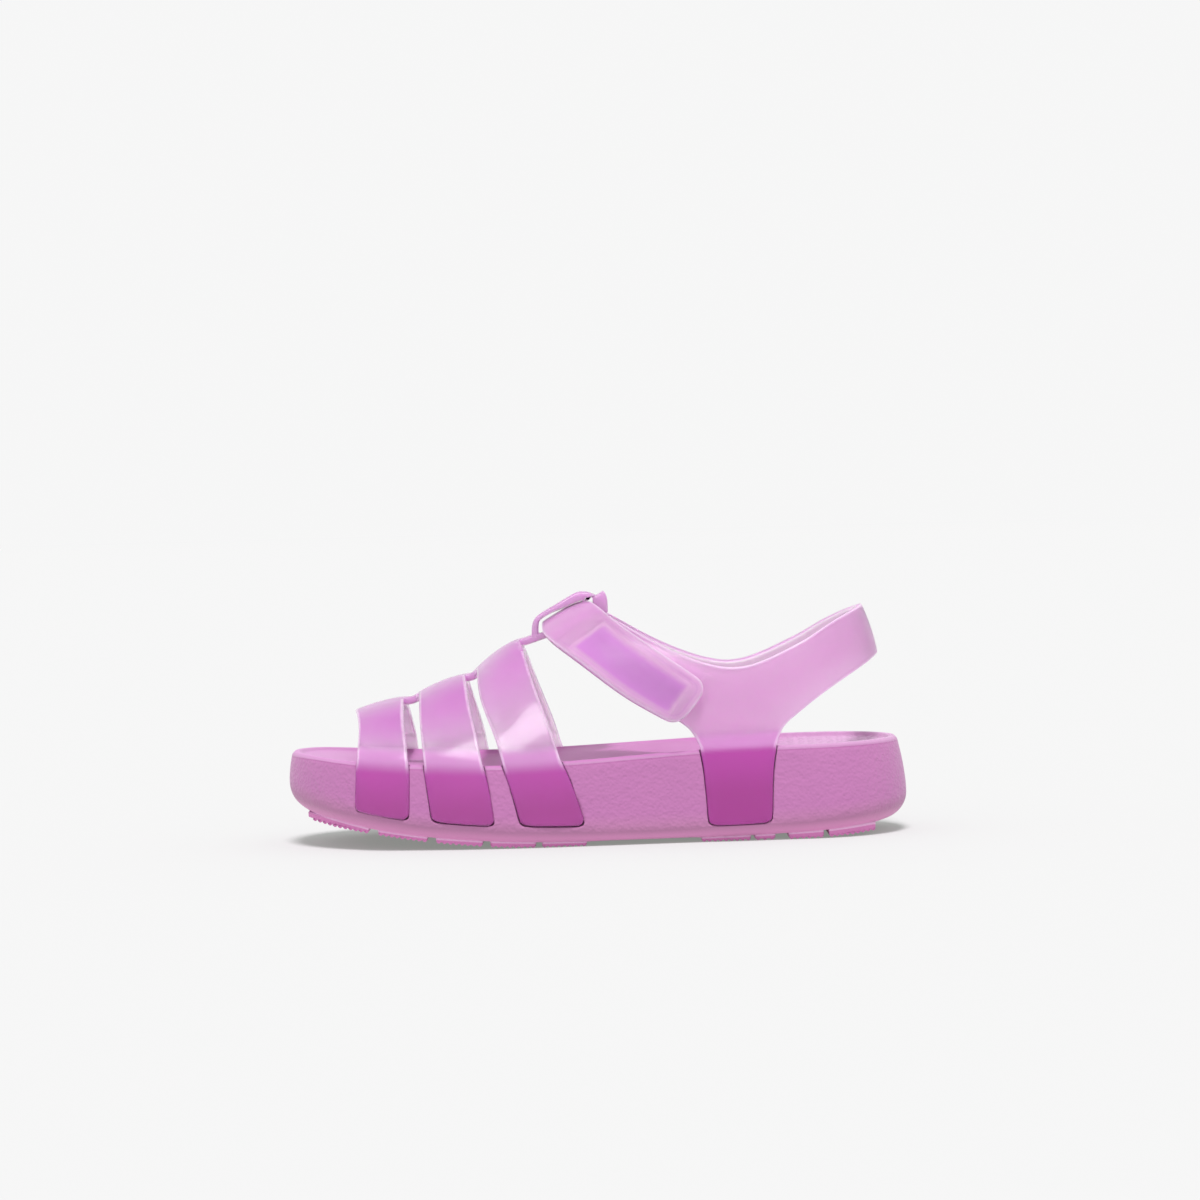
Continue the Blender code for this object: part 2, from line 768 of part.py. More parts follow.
def stem(bm, side):
    """The stem of one side, from the band's lower edge down into its pocket in the sole."""
    span = STEM_REAR_ROW - STEM_FRONT_ROW

    def place(column, row):
        lower, low, _, _ = band_row(STEM_FRONT_ROW + column)
        part = column / span
        front, rear = read(STEM, 1, row), read(STEM, 2, row)
        top = low * INSTEP_HEIGHT
        if row == 0:
            return skin(lower, across_at_height(lower, side, top), STRAP_PROUD)
        share = blend(front, rear, part)
        foot = belly_height(share) + STEM_FOOT_RISE
        height = blend(top, foot, row)
        taken = corner_inset(height - foot, STRAP_CORNER) / LENGTH
        share = blend(front + taken, rear - taken, part)
        bulge = STRAP_CROWN * hump(part) * min(row / 0.3, 1.0)
        return skin(share, across_at_height(share, side, height), STRAP_PROUD + bulge)

    columns = tuple(i / FINE for i in range(span * FINE + 1))
    add_strip(bm, columns, (0, 0.1, 0.22, 0.36, 0.52, 0.7, 0.86, 0.95, 0.98, 1), place)


def closing_strap(bm):
    """From the inner arm over the spine and down the outer side, with a rounded end."""
    last = len(CLOSING)
    tip = closing_row(last)

    def place(column, row):
        lower, low, upper, high, _ = closing_row(column)
        edge = skin(lower, low, 0.0)
        distance = (skin(tip[0], tip[1], 0.0) - edge).length
        width = (skin(upper, high, 0.0) - edge).length
        taken = corner_inset(distance, TAB_CORNER) / width if column > last - 1 else 0.0
        part = blend(taken, 1 - taken, row)
        return skin(blend(lower, upper, part), blend(low, high, part),
                    closing_lift(column) + STRAP_CROWN * hump(row))

    columns = [i / FINE for i in range((last - 1) * FINE + 1)] + [last - end for end in TAB_END_COLUMNS]
    add_strip(bm, tuple(columns), BAND_ROWS, place)


def build_quarter(collection):
    bm = bmesh.new()
    half_band(bm, -1, 0.0)
    half_band(bm, 1, closing_lift(0) - STRAP_PROUD)
    for side in (-1, 1):
        stem(bm, side)
    closing_strap(bm)
    quarter = new_object("quarter", bm, collection)
    thicken(quarter, STRAP_WALL)
    round_edges(quarter, STRAP_EDGE)
    quarter.data.materials.append(material("Jelly", (0.72, 0.38, 0.66), 0.2, 0.6))
    return quarter


# Closure

PATCH_FIRST = 7.4
PATCH_LAST = 10.65
PATCH_LOWER = 0.12
PATCH_UPPER = 0.78


def build_patch(name, level, colour, collection):
    """A thin pad between the outer arm and the tab, at a level in their gap."""
    lift = STRAP_PROUD + STRAP_CROWN + CLEARANCE + PATCH_WALL + level * (PATCH_WALL + CLEARANCE)

    def place(column, row):
        lower, low, upper, high, _ = closing_row(column)
        part = blend(PATCH_LOWER, PATCH_UPPER, row)
        return skin(blend(lower, upper, part), blend(low, high, part), lift)

    count = 10
    columns = tuple(blend(PATCH_FIRST, PATCH_LAST, i / count) for i in range(count + 1))
    bm = bmesh.new()
    add_strip(bm, columns, (0, 1 / 3, 2 / 3, 1), place)
    patch = new_object(name, bm, collection)
    thicken(patch, PATCH_WALL)
    patch.data.materials.append(material("Hook and loop", colour, 0.9))
    return patch


def main():
    for thing in list(bpy.data.objects):
        bpy.data.objects.remove(thing, do_unlink=True)
    collection = bpy.data.collections.new("Jelly sandal")
    tools = bpy.data.collections.new("Cutters and guides")
    bpy.context.scene.collection.children.link(collection)
    bpy.context.scene.collection.children.link(tools)
    build_sole(collection, tools)
    build_vamp(collection, tools)
    build_quarter(collection)
    build_patch("hook_patch", 0, (0.5, 0.25, 0.6), collection)
    build_patch("loop_patch", 1, (0.55, 0.3, 0.62), collection)
    for thing in collection.objects:
        thing.data.shade_smooth()
        thing.data.set_sharp_from_angle(angle=math.radians(40))


main()
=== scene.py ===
"""Looks of a child's left jelly sandal: pink foam sole, clear jelly straps, a fastened closure."""

import math

import bmesh
import bpy
from mathutils import Matrix, Vector
from mathutils.bvhtree import BVHTree
from mathutils.kdtree import KDTree


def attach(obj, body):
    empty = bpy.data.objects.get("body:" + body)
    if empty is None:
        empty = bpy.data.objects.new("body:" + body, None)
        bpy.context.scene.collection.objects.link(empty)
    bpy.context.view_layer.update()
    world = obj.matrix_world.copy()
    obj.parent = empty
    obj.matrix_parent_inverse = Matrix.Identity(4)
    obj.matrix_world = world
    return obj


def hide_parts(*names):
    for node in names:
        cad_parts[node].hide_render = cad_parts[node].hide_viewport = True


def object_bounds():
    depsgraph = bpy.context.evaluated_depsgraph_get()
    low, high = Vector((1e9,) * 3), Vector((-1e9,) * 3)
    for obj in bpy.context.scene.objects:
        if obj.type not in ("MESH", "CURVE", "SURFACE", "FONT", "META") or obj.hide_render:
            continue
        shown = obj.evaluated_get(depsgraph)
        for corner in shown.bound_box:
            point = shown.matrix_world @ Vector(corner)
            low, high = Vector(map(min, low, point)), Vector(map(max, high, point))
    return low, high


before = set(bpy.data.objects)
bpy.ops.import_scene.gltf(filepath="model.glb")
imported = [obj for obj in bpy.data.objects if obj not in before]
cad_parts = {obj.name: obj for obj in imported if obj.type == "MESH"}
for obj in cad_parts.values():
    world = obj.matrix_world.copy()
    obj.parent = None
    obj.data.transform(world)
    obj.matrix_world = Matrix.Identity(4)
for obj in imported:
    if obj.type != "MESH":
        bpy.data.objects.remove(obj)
cad_low, cad_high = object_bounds()
bpy.ops.object.select_all(action="DESELECT")

# Camera: a long lens at the height of a low table, level with the outer side of the foot.
# It is rolled a little, as the sandal stands on its sole here and leans back in the picture.
CAMERA_PLACE = Vector((0.0, -1.2, 0.112))
CAMERA_PAN = math.radians(-0.104)
CAMERA_PITCH = math.radians(-1.869)
CAMERA_ROLL = math.radians(-1.5)
CAMERA_LENS = 116.905
CAMERA_SENSOR = 36.0

camera_data = bpy.data.cameras.new("camera")
camera_data.lens = CAMERA_LENS
camera_data.sensor_width = CAMERA_SENSOR
camera_data.sensor_fit = "HORIZONTAL"
camera = bpy.data.objects.new("camera", camera_data)
bpy.context.scene.collection.objects.link(camera)
turn = Matrix.Rotation(CAMERA_PAN, 4, "Z") @ Matrix.Rotation(math.radians(90) + CAMERA_PITCH, 4, "X")
camera.matrix_world = Matrix.Translation(CAMERA_PLACE) @ turn @ Matrix.Rotation(CAMERA_ROLL, 4, "Z")
bpy.context.scene.camera = camera


# Studio: an even pale room, a lamp above and a little in front of the shoe, its twin for the front
# straps that leaves no glint in them, a softer one for the floor that gives the shadow under the
# sole, and a soft box that runs down the glossy straps.
ROOM_BRIGHTNESS = 0.925
FLOOR_SIZE = 12.0
FLOOR_SHADE = (0.300, 0.284, 0.297)
FLOOR_GLOW = (0.195, 0.234, 0.202)
LAMPS = (
    # name, energy, angle, tilt towards the back, whether it glints in clear jelly
    ("top lamp", 2.2, 7, 27, True),
    ("strap lamp", 2.2, 7, 27, False),
    ("floor lamp", 5.34, 18, 27, True),
)
BOX_ELEVATION = math.radians(34)
BOX_AZIMUTH = math.radians(1)
BOX_LEAN = math.radians(30)
BOX_DISTANCE = 0.9
BOX_SIZE = (0.36, 0.70)
BOX_POWER = 4.6


def fill(node, inputs):
    """Sets a node's inputs, each from a socket or a plain value."""
    for name, value in inputs.items():
        if isinstance(value, bpy.types.NodeSocket):
            node.id_data.links.new(value, node.inputs[name])
        else:
            node.inputs[name].default_value = value


def new_material(name):
    """A material, its node tree and its shader."""
    made = bpy.data.materials.new(name)
    made.use_nodes = True
    return made, made.node_tree, made.node_tree.nodes["Principled BSDF"]


scene = bpy.context.scene
scene.view_settings.view_transform = "Standard"
room = bpy.data.worlds.new("room")
room.use_nodes = True
fill(room.node_tree.nodes["Background"], {"Color": (1.0, 1.0, 1.0, 1.0), "Strength": ROOM_BRIGHTNESS})
scene.world = room

bpy.ops.mesh.primitive_plane_add(size=FLOOR_SIZE, location=(0.0, 0.0, 0.0))
floor = bpy.context.object
floor.name = "floor"
floor_paint, tree, shader = new_material("floor paint")
fill(shader, {
    "Base Color": (*FLOOR_SHADE, 1.0),
    "Roughness": 1.0,
    "Specular IOR Level": 0.0,
    "Emission Color": (*FLOOR_GLOW, 1.0),
    "Emission Strength": 1.0,
})
floor.data.materials.append(floor_paint)

lit = bpy.data.collections.new("lit by the top lamp")
lit_straps = bpy.data.collections.new("lit by the strap lamp")
lit_floor = bpy.data.collections.new("lit by the floor lamp")
lit_floor.objects.link(floor)
for (name, energy, angle, tilt, glints), receivers in zip(LAMPS, (lit, lit_straps, lit_floor)):
    lamp_data = bpy.data.lights.new(name, "SUN")
    lamp_data.energy = energy
    lamp_data.angle = math.radians(angle)
    lamp = bpy.data.objects.new(name, lamp_data)
    lamp.rotation_euler = (math.radians(tilt), 0.0, 0.0)
    lamp.visible_glossy = False
    lamp.visible_transmission = glints
    lamp.light_linking.receiver_collection = receivers
    scene.collection.objects.link(lamp)

box_data = bpy.data.lights.new("soft box", "AREA")
box_data.shape = "RECTANGLE"
box_data.size, box_data.size_y = BOX_SIZE
box_data.energy = BOX_POWER
box = bpy.data.objects.new("soft box", box_data)
away = Vector((math.sin(BOX_AZIMUTH) * math.cos(BOX_ELEVATION),
               -math.cos(BOX_AZIMUTH) * math.cos(BOX_ELEVATION),
               math.sin(BOX_ELEVATION)))
box.location = away * BOX_DISTANCE + Vector((0.0, 0.0, (cad_high.z - cad_low.z) / 2))
box_turn = away.to_track_quat("Z", "Y").to_matrix() @ Matrix.Rotation(-BOX_LEAN, 3, "Z")
box.rotation_euler = box_turn.to_euler()
box.visible_diffuse = False
box.visible_transmission = False
glossy = bpy.data.collections.new("lit by the soft box")
box.light_linking.receiver_collection = glossy
scene.collection.objects.link(box)
bpy.ops.object.select_all(action="DESELECT")


# Sole: one block of closed-cell foam with a dished footbed. Its side wall has a fine pebble grain
# from the mould, the rim band above it is smooth, and the heel of the footbed has tiny nubs.
MERGE_DISTANCE = 0.00001
QUAD_FACE_ANGLE = math.radians(50)
QUAD_SHAPE_ANGLE = math.radians(60)
CREASE_ANGLE = math.radians(26)
EDGE_CREASE = 0.8
SOLE_LEVELS = 2
FOAM_LUG = (0.640, 0.200, 0.480)
FOAM_BELLY_LINE = (0.760, 0.440, 0.680)
FOAM_LOW_LIT = (0.430, 0.180, 0.335)
FOAM_SIDE = (0.415, 0.148, 0.352)
FOAM_RIM_LINE = (0.330, 0.090, 0.265)
FOAM_RIM_AND_HIGHLIGHT = (0.440, 0.212, 0.400)
# Colour of the foam's random mottle, also used as painted light on the underside.
FOAM_MOTTLE_AND_LIT_UNDERSIDE = (0.800, 0.300, 0.600)
# Painted light: the wall is painted lighter low down, near the floor, and a pale line runs along the belly's
# edge.
WALL_COLOURS = (
    # height over the belly, colour
    (-0.0010, FOAM_LUG),
    (-0.0003, FOAM_LUG),
    (-0.0001, FOAM_BELLY_LINE),
    (0.0003, FOAM_BELLY_LINE),
    (0.0008, FOAM_LOW_LIT),
    (0.0030, FOAM_LOW_LIT),
    (0.0085, FOAM_SIDE),
)
# The rim band is partly its own smooth colour and partly a painted highlight along its rounded edge; a darker
# line runs below it.
RIM_COLOURS = (
    # depth under the rim's top, colour
    (0.0, FOAM_RIM_AND_HIGHLIGHT),
    (0.0011, FOAM_RIM_AND_HIGHLIGHT),
    (0.0014, FOAM_RIM_LINE),
    (0.0018, FOAM_RIM_LINE),
)
RIM_BAND = (0.0017, 0.0013)
# Painted light and shade on the footbed: painted shade darkens the arch, and painted light makes the heel
# paler.
BED_LIGHT_AND_SHADE = (
    # share of the length from the toe, colour
    (0.02, (0.545, 0.245, 0.500)),
    (0.35, (0.500, 0.160, 0.425)),
    (0.60, (0.500, 0.160, 0.425)),
    (0.85, (0.580, 0.330, 0.540)),
)
WALL_RANGE = (-0.0010, 0.0090)
RIM_RANGE = (0.0, 0.0020)
BED_SLOPE = (0.55, 0.95)
BELOW_SLOPE = (-0.45, -0.95)
MOTTLE_SCALE = 55.0
MOTTLE_STRENGTH = 0.14
PEBBLE_SCALE = 1100.0
PEBBLE_PART = 0.6
WARP_SCALE = 420.0
GRAIN_HEIGHT = 0.0005
GRAIN_SLOPE = (0.75, 0.35)
GRAIN_STRENGTH = (0.06, 0.62)
NUBS_BEGIN = (0.70, 0.74)
NUB_SCALE = 330.0
NUB_HEIGHT = 0.0003
NUB_EDGE = (0.38, 0.18)
RIB_DEPTH = 0.00026
LUGS = (
    # front, rear: shares of the length from the toe
    (0.0340, 0.1370),
    (0.1515, 0.2297),
    (0.2430, 0.3168),
    (0.3285, 0.4004),
    (0.4097, 0.4805),
    (0.6617, 0.7400),
    (0.7460, 0.7790),
    (0.8000, 0.8560),
    (0.8640, 0.9410),
)
LUG_MARGIN = 0.004
BELLY_TOE = 0.030
BELLY_ARCH = [0.49, 0.57, 0.65]
BELLY_HEEL = 0.946
ARCH_CHANNEL = 4  # the wide one between the fifth and sixth lugs
RIM_STEPS = 100
BELOW_FLOOR = -0.01


def copy_node(node, name):
    """A copy of a CAD node's mesh with its loose triangles merged and paired into quads."""
    copied = bpy.data.objects.new(name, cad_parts[node].data.copy())
    copied.data.materials.clear()
    scene.collection.objects.link(copied)
    bpy.context.view_layer.objects.active = copied
    copied.select_set(True)
    bpy.ops.object.mode_set(mode="EDIT")
    bpy.ops.mesh.select_all(action="SELECT")
    bpy.ops.mesh.remove_doubles(threshold=MERGE_DISTANCE)
    bpy.ops.mesh.tris_convert_to_quads(face_threshold=QUAD_FACE_ANGLE, shape_threshold=QUAD_SHAPE_ANGLE)
    bpy.ops.object.mode_set(mode="OBJECT")
    return copied


def rounded(thing, sharpness, crease, levels):
    """Rounds the built form, with its sharp edges kept crisp."""
    bpy.ops.object.mode_set(mode="EDIT")
    bpy.ops.mesh.select_mode(type="EDGE")
    bpy.ops.mesh.select_all(action="DESELECT")
    bpy.ops.mesh.edges_select_sharp(sharpness=sharpness)
    bpy.ops.transform.edge_crease(value=crease)
    bpy.ops.object.mode_set(mode="OBJECT")
    rounding = thing.modifiers.new("rounding", "SUBSURF")
    rounding.levels = levels
    bpy.ops.object.modifier_apply(modifier=rounding.name)
    bpy.ops.object.shade_smooth()


def store(thing, name, values):
    """Keeps one number for each vertex as an attribute for the material."""
    attribute = thing.data.attributes.new(name, "FLOAT", "POINT")
    attribute.data.foreach_set("value", values)


def tree_of(mesh):
    """Search tree of a mesh, for rays and nearest points."""
    return BVHTree.FromPolygons([v.co for v in mesh.vertices], [p.vertices[:] for p in mesh.polygons])


sole_tree = tree_of(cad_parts["sole"].data)


def share_of(x):
    """Share of the length from the toe at a place along the shoe."""
    return (x - cad_low.x) / (cad_high.x - cad_low.x)


def at_share(share):
    """Place along the shoe at a share of its length from the toe."""
    return cad_low.x + share * (cad_high.x - cad_low.x)


def tread_height(x):
    """Height of the sole's underside over the floor at a place on the middle line."""
    return sole_tree.ray_cast(Vector((x, 0.0, BELOW_FLOOR)), Vector((0.0, 0.0, 1.0)))[0].z


def between(places, heights, share):
    """Height at a share of the length, read along straight lines."""
    for i in range(len(places) - 1):
        if share <= places[i + 1]:
            part = max((share - places[i]) / (places[i + 1] - places[i]), 0.0)
            return heights[i] + (heights[i + 1] - heights[i]) * part
    return heights[-1]


# The lugs end a little higher than in the plain solid, to leave room for the ribs.
sole = copy_node("sole", "foam_sole")
for vertex in sole.data.vertices:
    share = share_of(vertex.co.x)
    if any(front - LUG_MARGIN < share < rear + LUG_MARGIN for front, rear in LUGS):
        inside_lugs = min(max(share, LUGS[0][0]), LUGS[-1][1])
        vertex.co.z = max(vertex.co.z, tread_height(at_share(inside_lugs)) + RIB_DEPTH)
rounded(sole, CREASE_ANGLE, EDGE_CREASE, SOLE_LEVELS)
lit.objects.link(sole)

# Heights of the belly between the lugs and of the rim's top, along the shoe.
channels = [(LUGS[i][1] + LUGS[i + 1][0]) / 2 for i in range(len(LUGS) - 1)]
belly_places = [BELLY_TOE] + channels[:ARCH_CHANNEL] + BELLY_ARCH + channels[ARCH_CHANNEL + 1:] + [BELLY_HEEL]
belly_heights = [tread_height(at_share(share)) for share in belly_places]
rim_places = [i / RIM_STEPS for i in range(RIM_STEPS + 1)]
rim_heights = [0.0] * (RIM_STEPS + 1)
for vertex in sole.data.vertices:
    slot = round(share_of(vertex.co.x) * RIM_STEPS)
    for near in range(max(slot - 1, 0), min(slot + 2, RIM_STEPS + 1)):
        rim_heights[near] = max(rim_heights[near], vertex.co.z)
store(sole, "over_belly", [v.co.z - between(belly_places, belly_heights, share_of(v.co.x))
                           for v in sole.data.vertices])
store(sole, "under_rim", [between(rim_places, rim_heights, share_of(v.co.x)) - v.co.z
                          for v in sole.data.vertices])
sole.select_set(False)


def add_node(tree, kind, inputs=None, **settings):
    """A shader node with its settings, and its inputs from sockets or plain values."""
    node = tree.nodes.new("ShaderNode" + kind)
    for name, value in settings.items():
        setattr(node, name, value)
    fill(node, inputs or {})
    return node


def span(tree, value, low, high, bottom=0.0, top=1.0):
    """Maps a value from low and high onto bottom and top, and holds it there beyond them."""
    inputs = {"Value": value, "From Min": low, "From Max": high, "To Min": bottom, "To Max": top}
    return add_node(tree, "MapRange", inputs).outputs[0]


def calculate(tree, operation, *values):
    """One sum of sockets or plain numbers."""
    return add_node(tree, "Math", dict(enumerate(values)), operation=operation).outputs[0]


def read_attribute(tree, name):
    """What was stored at the vertices under a name."""
    return add_node(tree, "Attribute", attribute_name=name).outputs["Fac"]


def place_of(tree):
    """The place on the piece itself."""
    return add_node(tree, "TexCoord").outputs["Object"]


def slope_of(tree):
    """How far the surface faces up, from 1 at the top to -1 underneath."""
    normal = add_node(tree, "NewGeometry").outputs["Normal"]
    return add_node(tree, "SeparateXYZ", {0: normal}).outputs["Z"]


def colour_steps(tree, value, low, high, steps):
    """A colour that follows a value through steps between low and high."""
    ramp = add_node(tree, "ValToRGB", {0: span(tree, value, low, high)})
    while len(ramp.color_ramp.elements) < len(steps):
        ramp.color_ramp.elements.new(0.5)
    for element, (at, colour) in zip(ramp.color_ramp.elements, steps):
        element.position = (at - low) / (high - low)
        element.color = (*colour, 1.0)
    return ramp.outputs["Color"]


def blend(tree, part, first, second):
    """Second over first by part; each is a socket or a plain colour."""
    lower, upper = ((*colour, 1.0) if isinstance(colour, tuple) else colour for colour in (first, second))
    return add_node(tree, "Mix", {0: part, 6: lower, 7: upper}, data_type="RGBA").outputs[2]


foam, tree, shader = new_material("moulded foam")
place = place_of(tree)
slope = slope_of(tree)
along = add_node(tree, "SeparateXYZ", {0: place}).outputs["X"]
upward = span(tree, slope, *BED_SLOPE)
downward = span(tree, slope, *BELOW_SLOPE)
under_rim = read_attribute(tree, "under_rim")
mottle = add_node(tree, "TexNoise", {"Vector": place, "Scale": MOTTLE_SCALE, "Detail": 3.0}).outputs["Fac"]

# Painted light: the wall is lighter low down.
painted = colour_steps(tree, read_attribute(tree, "over_belly"), *WALL_RANGE, WALL_COLOURS)
# Rim band: its own colour with a painted highlight along its rounded edge.
rim = colour_steps(tree, under_rim, *RIM_RANGE, RIM_COLOURS)
painted = blend(tree, span(tree, under_rim, *RIM_BAND), painted, rim)
painted = blend(tree, span(tree, mottle, 0.0, 1.0, top=MOTTLE_STRENGTH), painted, FOAM_MOTTLE_AND_LIT_UNDERSIDE)
# Painted shade in the arch and painted light at the heel of the footbed.
bed_shading = colour_steps(tree, along, cad_low.x, cad_high.x,
                   [(at_share(share), colour) for share, colour in BED_LIGHT_AND_SHADE])
painted = blend(tree, upward, painted, bed_shading)
# Painted light: the faces that look down are painted lighter.
painted = blend(tree, downward, painted, FOAM_MOTTLE_AND_LIT_UNDERSIDE)

pebble = add_node(tree, "TexVoronoi", {"Vector": place, "Scale": PEBBLE_SCALE, "Smoothness": 0.7},
                  feature="SMOOTH_F1")
warp = add_node(tree, "TexNoise", {"Vector": place, "Scale": WARP_SCALE, "Detail": 4.0})
wall_bump = add_node(tree, "Bump", {
    "Strength": span(tree, calculate(tree, "ABSOLUTE", slope), *GRAIN_SLOPE, *GRAIN_STRENGTH),
    "Distance": GRAIN_HEIGHT,
    "Height": calculate(tree, "MULTIPLY_ADD", pebble.outputs["Distance"], PEBBLE_PART, warp.outputs["Fac"]),
})
nubs = add_node(tree, "TexVoronoi", {"Vector": place, "Scale": NUB_SCALE, "Randomness": 0.15},
                voronoi_dimensions="2D")
in_heel = span(tree, along, *(at_share(share) for share in NUBS_BEGIN))
nub_bump = add_node(tree, "Bump", {
    "Strength": calculate(tree, "MULTIPLY", in_heel, upward),
    "Distance": NUB_HEIGHT,
    "Height": span(tree, nubs.outputs["Distance"], *NUB_EDGE),
    "Normal": wall_bump.outputs["Normal"],
})
fill(shader, {
    "Base Color": painted,
    "Roughness": 0.55,
    "Specular IOR Level": 0.35,
    "Sheen Weight": 0.12,
    "Sheen Roughness": 0.5,
    "Normal": nub_bump.outputs["Normal"],
})
sole.data.materials.append(foam)
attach(sole, "root")
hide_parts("sole")


# Tread ribs: fine cross ribs moulded over the lower face of every lug, in one with the foam.
# They end flush with the lug's sides and show there as a row of small teeth. The very first one
# is left out, as the sole curves up there.
RIB_PITCH = 0.0016
RIB_TIP_SHARE = 0.30
RIB_ROOT_SHARE = 0.98
RIB_ROOT = 0.0003
RIB_TIP_INSET = 0.5
RIB_PROBE = 1.6
BESIDE_SOLE = 0.06
RIB_OVER_BELLY = -0.001
RIB_UNDER_RIM = 0.02

ribs = bmesh.new()
for front, rear in LUGS:
    length = at_share(rear) - at_share(front)
    count = int(length / RIB_PITCH)
    for i in range(1 if front == LUGS[0][0] else 0, count):
        x = at_share(front) + (i + 0.5) * length / count
        base = tread_height(x)
        probe = base + RIB_DEPTH * RIB_PROBE
        reach = [sole_tree.ray_cast(Vector((x, side * BESIDE_SOLE, probe)), Vector((0.0, -side, 0.0)))[0].y
                 for side in (-1, 1)]
        made = bmesh.ops.create_cube(ribs, size=1.0)
        for vertex in made["verts"]:
            tip = vertex.co.z < 0
            half = RIB_PITCH / 2 * (RIB_TIP_SHARE if tip else RIB_ROOT_SHARE)
            end = reach[0] if vertex.co.y < 0 else reach[1]
            vertex.co = Vector((x + (half if vertex.co.x > 0 else -half),
                                end - math.copysign(RIB_DEPTH * RIB_TIP_INSET if tip else 0.0, end),
                                base if tip else base + RIB_DEPTH + RIB_ROOT))
tread_mesh = bpy.data.meshes.new("tread_ribs")
ribs.to_mesh(tread_mesh)
ribs.free()
tread = bpy.data.objects.new("tread_ribs", tread_mesh)
scene.collection.objects.link(tread)
lit.objects.link(tread)
store(tread, "over_belly", [RIB_OVER_BELLY] * len(tread.data.vertices))
store(tread, "under_rim", [RIB_UNDER_RIM] * len(tread.data.vertices))
tread.data.materials.append(foam)
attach(tread, "root")


# Front upper: three cross straps on a centre spine with the keeper loop, injection moulded in
# one from clear jelly and welded into pockets in the foam. The clear jelly looks milky where
# foam, tape or a slim form lies behind it. Where it lies on the sole its colour is painted
# shade, deepest low down; its upward faces hold painted shade, its edges a painted highlight
# and its inner faces painted light.
STRAP_EDGE_ANGLE = math.radians(33)
STRAP_EDGE_CREASE = 0.75
EDGE_STEP = 0.0004
FRONT_LEVELS = 3
JELLY_IOR = 1.48
JELLY_CLEARNESS = 0.75
GLOW_SPREAD = (1.0, 0.6, 0.95)
GLOW_DEPTH = 0.010
RIPPLE_SCALE = 90.0
RIPPLE_HEIGHT = 0.0008
JELLY_SLOPE = (0.45, 0.90)
JELLY_TOP_DENSITY = 0.7
JELLY_CLEAR = (0.860, 0.490, 0.830)
# Painted shade: the faces that look up are deeper.
JELLY_TOP_SHADE = (0.450, 0.115, 0.430)
# Painted highlight: a pale band along the sharp edges.
JELLY_EDGE_HIGHLIGHT = (0.760, 0.500, 0.740)
EDGE_HIGHLIGHT_BAND = (0.0007, 0.0002)
EDGE_HIGHLIGHT_STRENGTH = 0.7
# Painted light: the faces that look in towards the foot are paler.
JELLY_INSIDE_LIT = (0.940, 0.820, 0.890)
INSIDE_FACING = (-0.2, -0.6)

# The foot's middle line, which tells a strap's inside from its outside.
FOOT_FRONT = -0.060
FOOT_REAR = 0.050
FOOT_MIDDLE = 0.025

# Over the foam: distances to it, depths under the rim, and how much wider the strap's foot is
# than in the plain solid, which closes its seam. The jelly's colour there is painted shade,
# deepest low under the rim.
JELLY_BACKED = (0.545, 0.245, 0.510)
BACKED_FAR = 0.0062
JELLY_SHADED_BY_FOAM = (0.430, 0.046, 0.340)
FOAM_FAR = 0.0050
FOAM_NEAR = 0.0033
JELLY_DEEP_SHADE = (0.355, 0.032, 0.262)
DEEP_UNDER_RIM = (0.002, 0.015)
FRONT_RIM = (-0.0014, 0.0034)
FOOT_SPREAD = 0.00040

# Over the tape: distances to it, and a faint line round the tab along its edge.
JELLY_TAB = (0.555, 0.315, 0.505)
JELLY_OVER_TAPE = (0.520, 0.195, 0.535)
TAPE_INSET = (0.0, 0.0011)
TAPE_FAR = (0.0045, 0.0040)
TAPE_BACKED = (0.0034, 0.0026)
TAB_FAR = (0.0085, 0.0045)
TAB_MILKINESS = 0.55
TAB_LINE = (0.0013, 0.0017, 0.0021)
TAB_LINE_STRENGTH = 0.30

# The keeper's bar comes down on the strap under it towards the rear, lower than in the plain
# solid. The loop and the spine's links are slim enough to look milky all through.
KEEPER_FRONT = Vector((-0.0168, 0.0, 0.0655))
KEEPER_REAR = -0.0005
KEEPER_TAPER = 0.0009
KEEPER_SLOPE = 0.48
KEEPER_HEAVIER = 0.0001
KEEPER_REAR_HEAVIER = 0.00085
KEEPER_CLOSING = (-0.0140, -0.0070)
KEEPER_UNDERSIDE = (0.3, -0.5)
LOOP_START = Vector((-0.0232, 0.0, 0.0585))
SPINE_HALF = 0.0055
SPINE_LINKS = ((-0.0592, -0.0552), (-0.0398, -0.0370))
SLIM_MILKINESS = 0.6
NO_EDGE = 0.01


def smooth_step(low, high, value):
    """Eases from 0 at low to 1 at high."""
    part = min(max((value - low) / (high - low), 0.0), 1.0)
    return part * part * (3 - 2 * part)


def edge_points(mesh):
    """Points closely along the sharp edges of a mesh, ready to search."""
    sharp = []
    bm = bmesh.new()
    bm.from_mesh(mesh)
    bmesh.ops.remove_doubles(bm, verts=bm.verts, dist=MERGE_DISTANCE)
    for edge in bm.edges:
        if len(edge.link_faces) == 2 and edge.calc_face_angle(0.0) > STRAP_EDGE_ANGLE:
            first, last = (vertex.co for vertex in edge.verts)
            count = max(int((last - first).length / EDGE_STEP), 1)
            sharp += [first.lerp(last, i / count) for i in range(count + 1)]
    bm.free()
    edges = KDTree(len(sharp))
    for i, point in enumerate(sharp):
        edges.insert(point, i)
    edges.balance()
    return edges


tape_tree = tree_of(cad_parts["loop_patch"].data)
tape_rim = edge_points(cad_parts["loop_patch"].data)


